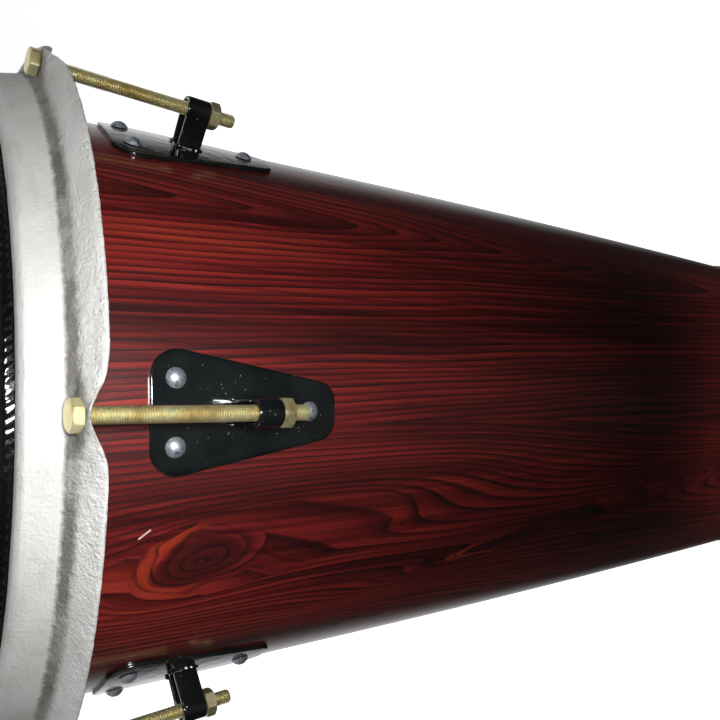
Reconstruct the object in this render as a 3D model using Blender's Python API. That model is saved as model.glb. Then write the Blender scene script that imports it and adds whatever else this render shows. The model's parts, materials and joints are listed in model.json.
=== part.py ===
"""A tall tapered hand drum with one head, a cast tuning hoop and six bolted lugs.

Units are metres, +Z is up and towards the head, and the origin is the centre of the base.
Lug 1 faces -Y, and the others follow at equal steps, anticlockwise seen from above.
"""

from math import acos, atan2, cos, degrees, exp, hypot, pi, radians, sin, tau

import bmesh
import bpy
from mathutils import Matrix, Vector

# Driving dimensions
TOTAL_HEIGHT = 0.700
LUG_COUNT = 6
FIT_GAP = 0.0003            # between pieces that rest on each other

# Shell: a wall of bent laminate whose radius shrinks with the depth below its top
SHELL_TOP_RADIUS = 0.1778
SHELL_TAPER = 0.0353        # radius lost per metre of depth, at the top
SHELL_CURVE = 0.0342        # further radius lost per square metre of depth
SHELL_WALL = 0.007
SHELL_SEGMENTS = 60
SHELL_ROWS = 5
BEARING_ROUND = 0.0025      # rounding of the top edge that carries the head
BEARING_LEAN = 0.001        # how far the top edge's inner corner stands outside the inner wall

# Head: a 1 mm film over the top edge, and the steel hoop that its rim is wrapped round
FILM_THICKNESS = 0.001
FILM_ROUND = 0.0032
COLLAR_DEPTH = 0.024
FLESH_INNER_GAP = 0.0006
FLESH_WIDTH = 0.0072
FLESH_HEIGHT = 0.012

# Counter hoop: a band with an inner lip, and a flared skirt that lifts into an ear at each lug
HOOP_BELOW_FILM = 0.0060
HOOP_TOP_RADIUS = 0.193
LIP_RADIUS = 0.181
LIP_THICKNESS = 0.005
HOOP_BEVEL_WIDTH = 0.0035
HOOP_BEVEL_DEPTH = 0.0020
BAND_INNER_RADIUS = 0.1888
BAND_FOOT_RADIUS = 0.1954
BAND_FOOT_DEPTH = 0.0180
EAR_EDGE_SPREAD = 0.013     # how fast the lifted edge falls away along the rim
EAR_SHELF_HALF = 0.008      # flat seat on each side of the bolt
EAR_SHELF_BLEND = 0.016

# The skirt's section as (radius, depth below the hoop's top), between ears and at an ear
SKIRT_ROOT = ((0.1975, 0.0223), (0.1972, 0.0207))
SKIRT_MIDDLE = ((0.2050, 0.0259), (0.2060, 0.0217))
SKIRT_RIM_TOP = ((0.2116, 0.0296), (0.2133, 0.0226))
SKIRT_RIM = ((0.2128, 0.0310), (0.2142, 0.0231))
SKIRT_RIM_UNDER = ((0.2116, 0.0324), (0.2130, 0.0241))
SKIRT_UNDER = ((0.2035, 0.0297), (0.2050, 0.0253))
SKIRT_HEEL = (0.1950, 0.0260)
BAND_INNER_DEPTH = 0.0220

# Distances along the rim from an ear at which the section is drawn, up to half way to the next
RIM_STOPS = (0.0, 0.005, 0.010, 0.015, 0.020, 0.028, 0.040, 0.056, 0.074, 0.092)

# Tension bolts, M8 x 110, leaning inwards from the ear to the strap
BOLT_RADIUS = 0.0039
BOLT_PITCH_RADIUS = 0.2054  # where the bolt's axis crosses the ear's seat
BOLT_SEAT_DEPTH = 0.0215
BOLT_LEAN = radians(6.06)
BOLT_LENGTH = 0.110
BOLT_HEAD_FLATS = 0.013
BOLT_HEAD_HEIGHT = 0.0053
EAR_HOLE_RADIUS = 0.0045
NUT_FLATS = 0.014
NUT_HEIGHT = 0.0060
NUT_BORE_RADIUS = 0.0047

# Lug brackets: a rounded, tapered plate with a strap welded over the bolt
PLATE_TOP_DEPTH = 0.0588
PLATE_LENGTH = 0.0992
PLATE_THICKNESS = 0.002
PLATE_TOP_HALF_WIDTH = 0.0298
PLATE_FOOT_HALF_WIDTH = 0.0152
PLATE_TOP_CORNER = 0.0135
PLATE_FOOT_CORNER = 0.0100
STRAP_ALONG_BOLT = 0.0868   # from the bolt's seat to the middle of the strap
STRAP_WIDTH = 0.0135
STRAP_THICKNESS = 0.0024
STRAP_INNER_RADIUS = 0.0048
STRAP_FOOT_HALF = 0.0100    # outer side of each leg, at the plate

# Lug screws: dome heads outside, hexagon nuts inside
SCREW_DEPTHS = (0.0707, 0.0707, 0.1420)
SCREW_OFFSETS = (-0.0160, 0.0160, 0.0)
SCREW_HEAD_RADIUS = 0.005
SCREW_HEAD_HEIGHT = 0.0032
SCREW_RADIUS = 0.0024
SCREW_HOLE_RADIUS = 0.0029
SCREW_NUT_FLATS = 0.010
SCREW_NUT_HEIGHT = 0.0046
SCREW_TAIL = 0.002          # thread showing beyond the nut
SCREW_NUT_GAP = 0.0006      # between a flat nut and the curved inner wall

# How far a cutting tool reaches past the metal it drills
DRILL_REACH = 0.004

# Base: a rubber channel on the shell's lower edge, and a wooden ring glued inside it
BASE_RING_WALL = 0.0025
BASE_RING_HEIGHT = 0.012
INNER_RING_THICKNESS = 0.006
INNER_RING_BOTTOM = 0.014
INNER_RING_HEIGHT = 0.030

# Heights that follow from the driving dimensions
SHELL_TOP = TOTAL_HEIGHT - FILM_THICKNESS - FIT_GAP
SHELL_BOTTOM = BASE_RING_WALL + FIT_GAP
HOOP_TOP = TOTAL_HEIGHT - HOOP_BELOW_FILM

MATERIALS = {
    "laminate": ((0.22, 0.035, 0.028), 0.25, 0.0),
    "bare_wood": ((0.45, 0.30, 0.18), 0.60, 0.0),
    "head_film": ((0.012, 0.012, 0.014), 0.22, 0.0),
    "cast_aluminium": ((0.62, 0.62, 0.60), 0.48, 1.0),
    "flesh_hoop_wrap": ((0.015, 0.015, 0.016), 0.35, 0.0),
    "black_paint": ((0.010, 0.012, 0.012), 0.25, 0.0),
    "yellow_zinc": ((0.62, 0.50, 0.20), 0.32, 1.0),
    "bright_zinc": ((0.62, 0.66, 0.70), 0.30, 1.0),
    "rubber": ((0.020, 0.020, 0.020), 0.75, 0.0),
}


def make_material(name):
    """Return the named material, making it the first time it is asked for."""
    if name in bpy.data.materials:
        return bpy.data.materials[name]
    color, roughness, metallic = MATERIALS[name]
    material = bpy.data.materials.new(name)
    material.use_nodes = True
    shader = material.node_tree.nodes["Principled BSDF"]
    shader.inputs["Base Color"].default_value = (*color, 1.0)
    shader.inputs["Roughness"].default_value = roughness
    shader.inputs["Metallic"].default_value = metallic
    return material


def shell_radius(height, inset=0.0):
    """Outer radius of the shell at a height, less an inset."""
    depth = SHELL_TOP - height
    return SHELL_TOP_RADIUS - SHELL_TAPER * depth - SHELL_CURVE * depth ** 2 - inset


def shell_slope(height):
    """Angle between the shell's wall and the vertical at a height."""
    return atan2(SHELL_TAPER + 2 * SHELL_CURVE * (SHELL_TOP - height), 1.0)


def lug_turn(index):
    """Rotation that carries lug 1, facing -Y, to the lug at index."""
    return Matrix.Rotation(tau * index / LUG_COUNT, 4, "Z")


def link_object(name, mesh, material, place=None):
    """Put a mesh in the scene as an object with one material, shaded smooth."""
    thing = bpy.data.objects.new(name, mesh)
    bpy.context.scene.collection.objects.link(thing)
    if not mesh.materials:
        mesh.materials.append(make_material(material))
    if place is not None:
        thing.matrix_world = place
    return thing


def mesh_from(name, build):
    """Run a bmesh builder and return the mesh, with its faces pointing out."""
    work = bmesh.new()
    build(work)
    bmesh.ops.recalc_face_normals(work, faces=work.faces)
    mesh = bpy.data.meshes.new(name)
    work.to_mesh(mesh)
    work.free()
    return mesh


def shade(mesh, angle=40):
    """Shade a mesh smooth, but leave its edges sharper than an angle in degrees."""
    mesh.shade_smooth()
    mesh.set_sharp_from_angle(angle=radians(angle))


def bridge_rings(work, rings):
    """Join equal closed rings of vertices, one after the other."""
    for lower, upper in zip(rings, rings[1:]):
        count = len(lower)
        for i in range(count):
            j = (i + 1) % count
            work.faces.new((lower[i], lower[j], upper[j], upper[i]))


def turned(name, profile, segments, closed=True):
    """Turn a profile of (radius, height) points about Z.

    A closed profile gives a ring; an open one starts and ends on the axis.
    """
    def build(work):
        rings = []
        for step in range(segments):
            angle = tau * step / segments - pi / 2
            outline = profile if closed else profile[1:-1]
            rings.append([work.verts.new((r * cos(angle), r * sin(angle), z)) for r, z in outline])
        if closed:
            bridge_rings(work, rings + [rings[0]])
            return
        poles = [work.verts.new((0, 0, profile[i][1])) for i in (0, -1)]
        for ring, following in zip(rings, rings[1:] + [rings[0]]):
            for i in range(len(ring) - 1):
                work.faces.new((ring[i], ring[i + 1], following[i + 1], following[i]))
            work.faces.new((poles[0], ring[0], following[0]))
            work.faces.new((ring[-1], poles[1], following[-1]))

    return mesh_from(name, build)


def prism(name, outline, low, high):
    """Extrude a closed outline of (x, y) points from height low to high."""
    def build(work):
        rings = [[work.verts.new((x, y, z)) for x, y in outline] for z in (low, high)]
        bridge_rings(work, rings)
        for ring in rings:
            work.faces.new(ring)

    return mesh_from(name, build)


def polygon(radius, sides, start=0.0):
    """Corners of a regular polygon, the first at the angle start."""
    return [(radius * cos(start + tau * i / sides), radius * sin(start + tau * i / sides))
            for i in range(sides)]


def bore_outline(radius):
    """A twelve-sided hole, turned so that no corner lies in a lug's middle plane."""
    return polygon(radius, 12, pi / 12)


def hexagon(across_flats, start=0.0):
    """Corners of a hexagon of the given width across flats."""
    return polygon(across_flats / 2 / cos(pi / 6), 6, start)


def arc(center, radius, start, end, steps):
    """Points on an arc, ends included; angles are in degrees."""
    cx, cy = center
    angles = [radians(start + (end - start) * i / steps) for i in range(steps + 1)]
    return [(cx + radius * cos(a), cy + radius * sin(a)) for a in angles]


def combine(name, base, tools, operation, tool_places=None):
    """Boolean a mesh with a list of meshes, and return the resulting mesh."""
    body = bpy.data.objects.new(name, base)
    bpy.context.scene.collection.objects.link(body)
    helpers = []
    for i, tool in enumerate(tools):
        helper = bpy.data.objects.new(f"{name}_tool_{i}", tool)
        bpy.context.scene.collection.objects.link(helper)
        if tool_places is not None:
            helper.matrix_world = tool_places[i]
        helper.hide_render = True
        helper.display_type = "WIRE"
        modifier = body.modifiers.new("Boolean", "BOOLEAN")
        modifier.operation = operation
        modifier.object = helper
        helpers.append(helper)
    bpy.context.view_layer.update()
    result = bpy.data.meshes.new_from_object(body.evaluated_get(bpy.context.evaluated_depsgraph_get()))
    for thing in [body, *helpers]:
        bpy.data.objects.remove(thing)
    return result


def screw_place(index, depth, offset):
    """Frame at the shell's outer face, its Z pointing straight out of the wall."""
    height = HOOP_TOP - depth
    radius = shell_radius(height)
    outward = Matrix.Rotation(pi / 2 + shell_slope(height), 4, "X")
    side = Matrix.Rotation(offset / radius, 4, "Z")
    return lug_turn(index) @ side @ Matrix.Translation((0, -radius, height)) @ outward


def bolt_place(index):
    """Frame at the bolt's seat on the ear, its Z along the bolt, up through the head."""
    seat = Matrix.Translation((0, -BOLT_PITCH_RADIUS, HOOP_TOP - BOLT_SEAT_DEPTH))
    return lug_turn(index) @ seat @ Matrix.Rotation(BOLT_LEAN, 4, "X")


def screw_places():
    """Yield the label and place of every lug screw."""
    for index in range(LUG_COUNT):
        for letter, depth, offset in zip("abc", SCREW_DEPTHS, SCREW_OFFSETS):
            yield f"{index + 1}{letter}", screw_place(index, depth, offset)


def make_shell():
    """The laminate wall, with a rounded bearing edge and a hole for each lug screw."""
    edge = SHELL_TOP - BEARING_ROUND
    heights = [SHELL_BOTTOM + (edge - SHELL_BOTTOM) * i / SHELL_ROWS for i in range(SHELL_ROWS + 1)]
    outside = [(shell_radius(z), z) for z in heights]
    inside = [(shell_radius(z, SHELL_WALL), z) for z in reversed(heights)]
    corner = (shell_radius(edge) - BEARING_ROUND, edge)
    rounded = arc(corner, BEARING_ROUND, 30, 90, 2)
    top_inner = [(shell_radius(SHELL_TOP, SHELL_WALL - BEARING_LEAN), SHELL_TOP)]
    wall = turned("shell", outside + rounded + top_inner + inside, SHELL_SEGMENTS)
    drill = prism("drill", bore_outline(SCREW_HOLE_RADIUS), -2 * SHELL_WALL, SHELL_WALL)
    places = [place for _, place in screw_places()]
    mesh = combine("shell", wall, [drill] * len(places), "DIFFERENCE", places)
    shade(mesh, 30)
    link_object("shell", mesh, "laminate")


def make_head_film():
    """The playing film: a flat disc with a collar down the outside of the shell."""
    inner = SHELL_TOP_RADIUS + FIT_GAP
    outer = inner + FILM_THICKNESS
    bottom = TOTAL_HEIGHT - COLLAR_DEPTH
    centre = (outer - FILM_ROUND, TOTAL_HEIGHT - FILM_ROUND)
    top = [(0, TOTAL_HEIGHT)] + list(reversed(arc(centre, FILM_ROUND, 0, 90, 2)))
    underside = arc(centre, FILM_ROUND - FILM_THICKNESS, 0, 90, 2)
    below = [(0, TOTAL_HEIGHT - FILM_THICKNESS)]
    profile = top + [(outer, bottom), (inner, bottom)] + underside + below
    mesh = turned("head_film", profile, SHELL_SEGMENTS, closed=False)
    shade(mesh, 50)
    link_object("head_film", mesh, "head_film")


def make_flesh_hoop():
    """The steel hoop inside the film's wrapped rim, pressed down by the counter hoop's lip."""
    inner = SHELL_TOP_RADIUS + FIT_GAP + FILM_THICKNESS + FLESH_INNER_GAP
    outer = inner + FLESH_WIDTH
    high = HOOP_TOP - LIP_THICKNESS - FIT_GAP
    low = high - FLESH_HEIGHT
    soft = FLESH_WIDTH / 4
    profile = [(inner, low + soft), (inner + soft, low), (outer - soft, low), (outer, low + soft),
               (outer, high), (inner, high)]
    mesh = turned("flesh_hoop", profile, SHELL_SEGMENTS)
    shade(mesh, 60)
    link_object("flesh_hoop", mesh, "flesh_hoop_wrap")


def ear_weights(distance):
    """How far the skirt's edge and its root are lifted into an ear, at a distance along the rim."""
    edge = exp(-(distance / EAR_EDGE_SPREAD) ** 2)
    fade = min(max((distance - EAR_SHELF_HALF) / EAR_SHELF_BLEND, 0.0), 1.0)
    root = 0.5 + 0.5 * cos(pi * fade)
    return edge, root


def hoop_profile(distance):
    """The counter hoop's section as (radius, depth below its top), at a distance from a bolt."""
    edge, root = ear_weights(distance)

    def lift(section_point, weight):
        plain, ear = section_point
        return tuple(p + (e - p) * weight for p, e in zip(plain, ear))

    return [
        (LIP_RADIUS, 0.0),
        (HOOP_TOP_RADIUS - HOOP_BEVEL_WIDTH, 0.0),
        (HOOP_TOP_RADIUS, HOOP_BEVEL_DEPTH),
        (BAND_FOOT_RADIUS, BAND_FOOT_DEPTH),
        lift(SKIRT_ROOT, root),
        lift(SKIRT_MIDDLE, root),
        lift(SKIRT_RIM_TOP, edge),
        lift(SKIRT_RIM, edge),
        lift(SKIRT_RIM_UNDER, edge),
        lift(SKIRT_UNDER, root),
        SKIRT_HEEL,
        (BAND_INNER_RADIUS, BAND_INNER_DEPTH),
        (BAND_INNER_RADIUS, LIP_THICKNESS),
        (LIP_RADIUS, LIP_THICKNESS),
    ]


def rim_angles():
    """Angles round the hoop, close together at the ears, each with its distance from a bolt."""
    pitch = tau * BOLT_PITCH_RADIUS / LUG_COUNT
    stops = [*RIM_STOPS, pitch / 2]
    stops += [pitch - stop for stop in reversed(RIM_STOPS[1:])]
    for index in range(LUG_COUNT):
        for along in stops:
            yield tau * index / LUG_COUNT + along / BOLT_PITCH_RADIUS, min(along, pitch - along)


def make_counter_hoop():
    """The cast tuning hoop, one section after another, with a hole through each ear."""
    def build(work):
        rings = []
        for angle, distance in rim_angles():
            turn = angle - pi / 2
            rings.append([work.verts.new((r * cos(turn), r * sin(turn), HOOP_TOP - depth))
                          for r, depth in hoop_profile(distance)])
        bridge_rings(work, rings + [rings[0]])

    ring = mesh_from("counter_hoop", build)
    drill = prism("ear_drill", bore_outline(EAR_HOLE_RADIUS), -2 * DRILL_REACH, DRILL_REACH)
    places = [bolt_place(index) for index in range(LUG_COUNT)]
    mesh = combine("counter_hoop", ring, [drill] * LUG_COUNT, "DIFFERENCE", places)
    shade(mesh, 40)
    link_object("counter_hoop", mesh, "cast_aluminium")


def plate_outline():
    """Half of the plate's outline, mirrored: (sideways, height above the plate's lower end)."""
    top, foot = PLATE_TOP_CORNER, PLATE_FOOT_CORNER
    lean = atan2(PLATE_TOP_HALF_WIDTH - PLATE_FOOT_HALF_WIDTH, PLATE_LENGTH - top - foot)
    foot_centre = (PLATE_FOOT_HALF_WIDTH - foot * cos(lean), foot)
    top_centre = (PLATE_TOP_HALF_WIDTH - top * cos(lean), PLATE_LENGTH - top)
    side = -degrees(lean)
    right = arc(foot_centre, foot, -90, side, 4) + arc(top_centre, top, side, 90, 5)
    return right + [(-x, y) for x, y in reversed(right)]


def make_plate():
    """The curved plate of lug 1, cut by its outline from a slab that follows the shell."""
    bottom = HOOP_TOP - PLATE_TOP_DEPTH - PLATE_LENGTH
    low, high = bottom - DRILL_REACH, bottom + PLATE_LENGTH + DRILL_REACH
    reach = (PLATE_TOP_HALF_WIDTH + DRILL_REACH) / shell_radius(bottom)
    columns = 6

    def build(work):
        rings = []
        for column in range(columns + 1):
            angle = -pi / 2 - reach + 2 * reach * column / columns
            ring = []
            for z, thickness in ((low, 0), (high, 0), (high, PLATE_THICKNESS), (low, PLATE_THICKNESS)):
                radius = shell_radius(z) + FIT_GAP + thickness
                ring.append(work.verts.new((radius * cos(angle), radius * sin(angle), z)))
            rings.append(ring)
        bridge_rings(work, rings)
        work.faces.new(rings[0])
        work.faces.new(rings[-1])

    slab = mesh_from("slab", build)
    cutter = prism("plate_cutter", plate_outline(), SHELL_TOP_RADIUS / 2, 2 * SHELL_TOP_RADIUS)
    upright = Matrix.Translation((0, 0, bottom)) @ Matrix.Rotation(pi / 2, 4, "X")
    return combine("plate", slab, [cutter], "INTERSECT", [upright])


def strap_outline(foot_depth):
    """The strap's section across the bolt, which is at the origin: legs down to -Y."""
    outer = STRAP_INNER_RADIUS + STRAP_THICKNESS
    foot = (STRAP_FOOT_HALF, -foot_depth)
    reach = hypot(*foot)
    tangent = atan2(foot[1], foot[0]) + acos(outer / reach)
    splay = degrees(tangent)
    leg = Vector((sin(tangent), -cos(tangent))) * (reach * sin(acos(outer / reach)))
    out_foot = (outer * cos(tangent) + leg.x, outer * sin(tangent) + leg.y)
    in_foot = (STRAP_INNER_RADIUS * cos(tangent) + leg.x, STRAP_INNER_RADIUS * sin(tangent) + leg.y)
    outside = arc((0, 0), outer, splay, 180 - splay, 8)
    inside = arc((0, 0), STRAP_INNER_RADIUS, 180 - splay, splay, 8)
    return ([out_foot] + outside + [(-out_foot[0], out_foot[1]), (-in_foot[0], in_foot[1])]
            + inside + [in_foot])


def make_brackets():
    """Plate and strap in one weldment, drilled for three screws; six copies share its mesh."""
    along = Matrix.Translation((0, 0, -STRAP_ALONG_BOLT - STRAP_WIDTH / 2))
    place = bolt_place(0) @ along
    middle = bolt_place(0) @ Matrix.Translation((0, 0, -STRAP_ALONG_BOLT))
    height = middle.translation.z
    face = shell_radius(height) + FIT_GAP + PLATE_THICKNESS / 2
    foot_depth = -middle.translation.y - face
    strap = prism("strap", strap_outline(foot_depth), 0.0, STRAP_WIDTH)
    welded = combine("weldment", make_plate(), [strap], "UNION", [place @ Matrix.Rotation(pi, 4, "Z")])
    drill = prism("plate_drill", bore_outline(SCREW_HOLE_RADIUS), -DRILL_REACH, 2 * DRILL_REACH)
    places = [screw_place(0, depth, offset) for depth, offset in zip(SCREW_DEPTHS, SCREW_OFFSETS)]
    mesh = combine("lug_bracket", welded, [drill] * len(places), "DIFFERENCE", places)
    shade(mesh, 35)
    for index in range(LUG_COUNT):
        link_object(f"lug_bracket_{index + 1}", mesh, "black_paint", lug_turn(index))


def make_tension_bolts():
    """Hexagon head and shaft, six times; each object's origin and Z are the bolt's axis."""
    head = prism("bolt_head", hexagon(BOLT_HEAD_FLATS, pi / 6), FIT_GAP, BOLT_HEAD_HEIGHT)
    shaft = prism("bolt_shaft", polygon(BOLT_RADIUS, 16), -BOLT_LENGTH, BOLT_HEAD_HEIGHT / 2)
    mesh = combine("tension_bolt", head, [shaft], "UNION")
    shade(mesh)
    for index in range(LUG_COUNT):
        link_object(f"tension_bolt_{index + 1}", mesh, "yellow_zinc", bolt_place(index))


def make_tension_nuts():
    """Hexagon nuts, each against the far side of its strap."""
    top = -STRAP_ALONG_BOLT - STRAP_WIDTH / 2 - FIT_GAP
    block = prism("nut_block", hexagon(NUT_FLATS), top - NUT_HEIGHT, top)
    bore = prism("nut_bore", polygon(NUT_BORE_RADIUS, 16), top - 2 * NUT_HEIGHT, top + NUT_HEIGHT)
    mesh = combine("tension_nut", block, [bore], "DIFFERENCE")
    shade(mesh)
    for index in range(LUG_COUNT):
        link_object(f"tension_nut_{index + 1}", mesh, "yellow_zinc", bolt_place(index))


def make_lug_screws():
    """Dome-headed screws through plate and wall, three to a lug."""
    seat = FIT_GAP + PLATE_THICKNESS + FIT_GAP
    grip = SHELL_WALL + SCREW_NUT_GAP + SCREW_NUT_HEIGHT + SCREW_TAIL
    ball = (SCREW_HEAD_RADIUS ** 2 + SCREW_HEAD_HEIGHT ** 2) / (2 * SCREW_HEAD_HEIGHT)
    edge = degrees(acos((ball - SCREW_HEAD_HEIGHT) / ball))
    centre = (0, seat + SCREW_HEAD_HEIGHT - ball)
    dome = arc(centre, ball, 90 - edge, 90, 2)
    profile = [(0, -grip), (SCREW_RADIUS, -grip), (SCREW_RADIUS, seat)] + dome
    mesh = turned("lug_screw", profile, 10, closed=False)
    shade(mesh, 50)
    for label, place in screw_places():
        link_object(f"lug_screw_{label}", mesh, "bright_zinc", place)


def make_screw_nuts():
    """Hexagon nuts on the inside of the wall, one to a lug screw."""
    face = -SHELL_WALL - SCREW_NUT_GAP
    block = prism("block", hexagon(SCREW_NUT_FLATS), face - SCREW_NUT_HEIGHT, face)
    bore = prism("bore", polygon(SCREW_HOLE_RADIUS, 8), 2 * face, 0.0)
    mesh = combine("screw_nut", block, [bore], "DIFFERENCE")
    shade(mesh)
    for label, place in screw_places():
        link_object(f"screw_nut_{label}", mesh, "bright_zinc", place)


def make_base_ring():
    """The rubber channel that the drum stands on."""
    inner = shell_radius(SHELL_BOTTOM, SHELL_WALL + FIT_GAP)
    outer = shell_radius(BASE_RING_HEIGHT) + FIT_GAP
    wall = BASE_RING_WALL
    profile = [(inner - wall, 0.0), (outer + wall, 0.0), (outer + wall, BASE_RING_HEIGHT),
               (outer, BASE_RING_HEIGHT), (outer, wall), (inner, wall),
               (inner, BASE_RING_HEIGHT), (inner - wall, BASE_RING_HEIGHT)]
    mesh = turned("base_ring", profile, SHELL_SEGMENTS)
    shade(mesh)
    link_object("base_ring", mesh, "rubber")


def make_inner_ring():
    """The wooden stiffening ring glued inside the shell, just above the base."""
    low, high = INNER_RING_BOTTOM, INNER_RING_BOTTOM + INNER_RING_HEIGHT
    outside = SHELL_WALL + FIT_GAP
    inside = outside + INNER_RING_THICKNESS
    profile = [(shell_radius(low, outside), low), (shell_radius(high, outside), high),
               (shell_radius(high, inside), high), (shell_radius(low, inside), low)]
    mesh = turned("inner_ring", profile, SHELL_SEGMENTS)
    shade(mesh)
    link_object("inner_ring", mesh, "bare_wood")


def main():
    for thing in list(bpy.data.objects):
        bpy.data.objects.remove(thing)
    make_shell()
    make_inner_ring()
    make_base_ring()
    make_head_film()
    make_flesh_hoop()
    make_counter_hoop()
    make_brackets()
    make_tension_bolts()
    make_tension_nuts()
    make_lug_screws()
    make_screw_nuts()


main()
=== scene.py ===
"""Looks for a tall tapered hand drum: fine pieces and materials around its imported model.

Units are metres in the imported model's frame: +Z is up, towards the head, and lug 1 faces -Y.
Every piece is built in place, so its object coordinates are the frame's own at rest.
"""

import json
from math import acos, atan2, cos, degrees, exp, hypot, pi, radians, sin, tan, tau
from random import Random

import bmesh
import bpy
import numpy as np
from mathutils import Matrix, Vector, noise


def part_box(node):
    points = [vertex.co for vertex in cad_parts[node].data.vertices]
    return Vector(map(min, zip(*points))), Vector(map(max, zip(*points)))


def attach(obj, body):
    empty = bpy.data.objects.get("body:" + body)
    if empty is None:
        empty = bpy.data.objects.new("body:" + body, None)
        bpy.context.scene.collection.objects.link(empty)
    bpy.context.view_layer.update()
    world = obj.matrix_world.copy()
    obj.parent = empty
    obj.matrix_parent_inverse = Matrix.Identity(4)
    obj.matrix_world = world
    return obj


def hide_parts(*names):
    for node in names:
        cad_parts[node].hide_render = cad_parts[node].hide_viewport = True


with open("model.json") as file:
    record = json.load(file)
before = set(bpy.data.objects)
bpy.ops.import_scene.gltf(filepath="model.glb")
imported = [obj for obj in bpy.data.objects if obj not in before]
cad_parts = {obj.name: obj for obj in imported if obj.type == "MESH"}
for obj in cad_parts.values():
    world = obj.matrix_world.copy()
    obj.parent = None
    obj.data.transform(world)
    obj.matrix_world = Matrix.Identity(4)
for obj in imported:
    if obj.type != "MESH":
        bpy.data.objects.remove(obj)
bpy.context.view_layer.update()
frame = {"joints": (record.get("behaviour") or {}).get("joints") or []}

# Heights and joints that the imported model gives
FILM_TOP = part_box("head_film")[1].z
FILM_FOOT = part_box("head_film")[0].z
HOOP_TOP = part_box("counter_hoop")[1].z
SHELL_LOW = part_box("shell")[0].z
SHELL_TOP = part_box("shell")[1].z
RUBBER_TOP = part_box("base_ring")[1].z
INNER_RING_LOW, INNER_RING_HIGH = (corner.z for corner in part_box("inner_ring"))
BOLT_JOINTS = [joint for joint in frame["joints"] if joint["name"].startswith("bolt_turn")]
LUG_COUNT = len(BOLT_JOINTS)
FIT_GAP = 0.0003

# Shell
SHELL_TOP_RADIUS = 0.1778
SHELL_TAPER = 0.0353
SHELL_CURVE = 0.0342
SHELL_WALL = 0.007
SHELL_ROWS = 44
BEARING_ROUND = 0.0025
CROWN_STEP = 0.001          # how far the top's flat stops short of the inner face
ROUND_SEGMENTS = 360
BARE_DEPTH = 0.4            # share of the wall's thickness where laminate gives way to bare wood

# Head: the film and the pleats of its collar
FILM_THICKNESS = 0.001
FILM_ROUND = 0.0032
PLEAT_COUNT = 218
PLEAT_DEPTH = 0.00050
PLEAT_LEAN = 130.0          # pleats that a crease crosses per metre of collar
PLEAT_START = 0.0004        # depth below the film's top where the pleats begin
PLEAT_RISE = 0.0036         # and how much further down they are full
PLEAT_SAMPLES = 9
PLEAT_SEED = 7
PLEAT_SPREAD = 0.28         # how far the pleats' spacing strays from even
PLEAT_SMALLEST = 0.45       # least height of a pleat, as a share of the full one
FILM_FACE_RADII = (0.012, 0.060, 0.110, 0.150, 0.168)
FILM_BACK_RADII = (0.150, 0.080, 0.012)
COLLAR_LEVELS = (0.08, 0.16, 0.25, 0.35, 0.5, 0.75, 1.0)

# Flesh hoop
FLESH_INNER_GAP = 0.0006
FLESH_WIDTH = 0.0072
FLESH_HEIGHT = 0.012
FLESH_ROUND = 0.0026

# Counter hoop, as (radius, depth below its top); the skirt's points are between ears and at an ear
LIP_RADIUS = 0.181
LIP_THICKNESS = 0.005
HOOP_TOP_RADIUS = 0.193
HOOP_BEVEL_WIDTH = 0.0035
HOOP_BEVEL_DEPTH = 0.0020
HOOP_ROUND = 0.0011
BAND_FOOT = (0.1954, 0.0180)
BAND_INNER = (0.1888, 0.0220)
SKIRT_ROOT = ((0.1975, 0.0223), (0.1972, 0.0207))
SKIRT_MIDDLE = ((0.2050, 0.0259), (0.2060, 0.0217))
SKIRT_RIM_TOP = ((0.2116, 0.0296), (0.2133, 0.0226))
SKIRT_RIM = ((0.2128, 0.0310), (0.2142, 0.0231))
SKIRT_RIM_UNDER = ((0.2116, 0.0324), (0.2130, 0.0241))
SKIRT_UNDER = ((0.2035, 0.0297), (0.2050, 0.0253))
SKIRT_HEEL = (0.1950, 0.0260)
EAR_EDGE_SPREAD = 0.013
EAR_SHELF_HALF = 0.008
EAR_SHELF_BLEND = 0.016
EAR_HOLE_RADIUS = 0.0045
EAR_DRILL = (-0.008, 0.004)     # where a hole's drill starts and ends along the bolt
HOOP_SEGMENTS = 900
HOOP_GRID = 0.0013          # spacing of the points across the section
SKIN_MARGIN = 0.00016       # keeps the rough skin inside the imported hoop
SKIN_WAVE = 0.00013
SKIN_WRINKLE = (0.00003, 0.00020)   # on the band, and what the skirt adds
SKIN_PEBBLE = (0.00001, 0.00012)
ROUGH_START = 0.016         # depth where the skirt's roughness begins
ROUGH_BLEND = 0.006

# Tension bolts and nuts
BOLT_PITCH_RADIUS = 0.2054
THREAD_PITCH = 0.00125
THREAD_RADIUS = 0.00395
THREAD_DEPTH = 0.00070
THREAD_SIDES = 26
THREAD_TAPER = 1.2          # the lower end's chamfer, in thread depths
THREAD_SHAPE = ((0.0, 1.0), (0.125, 1.0), (0.50, 0.0), (0.625, 0.0))    # share of a turn, level
BOLT_LENGTH = 0.110
BOLT_HEAD_FLATS = 0.013
BOLT_HEAD_HEIGHT = 0.0053
BOLT_HEAD_INNER = 0.002
NUT_FLATS = 0.014
NUT_HEIGHT = 0.0060
NUT_BORE_RADIUS = 0.0044    # leaves room for the bolt, whose foot swings as the hoop slides
NUT_SINK = 0.14             # countersink, as a share of the bore's radius
HEX_CHAMFER = radians(30)
HEX_FACE = 0.965            # diameter of the flat end face, as a share of the flats
HEX_SEAT = 0.00015          # fall at the edge of an end that isn't chamfered
HEX_SIDES = 96
HEX_SOFTNESS = 44

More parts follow.
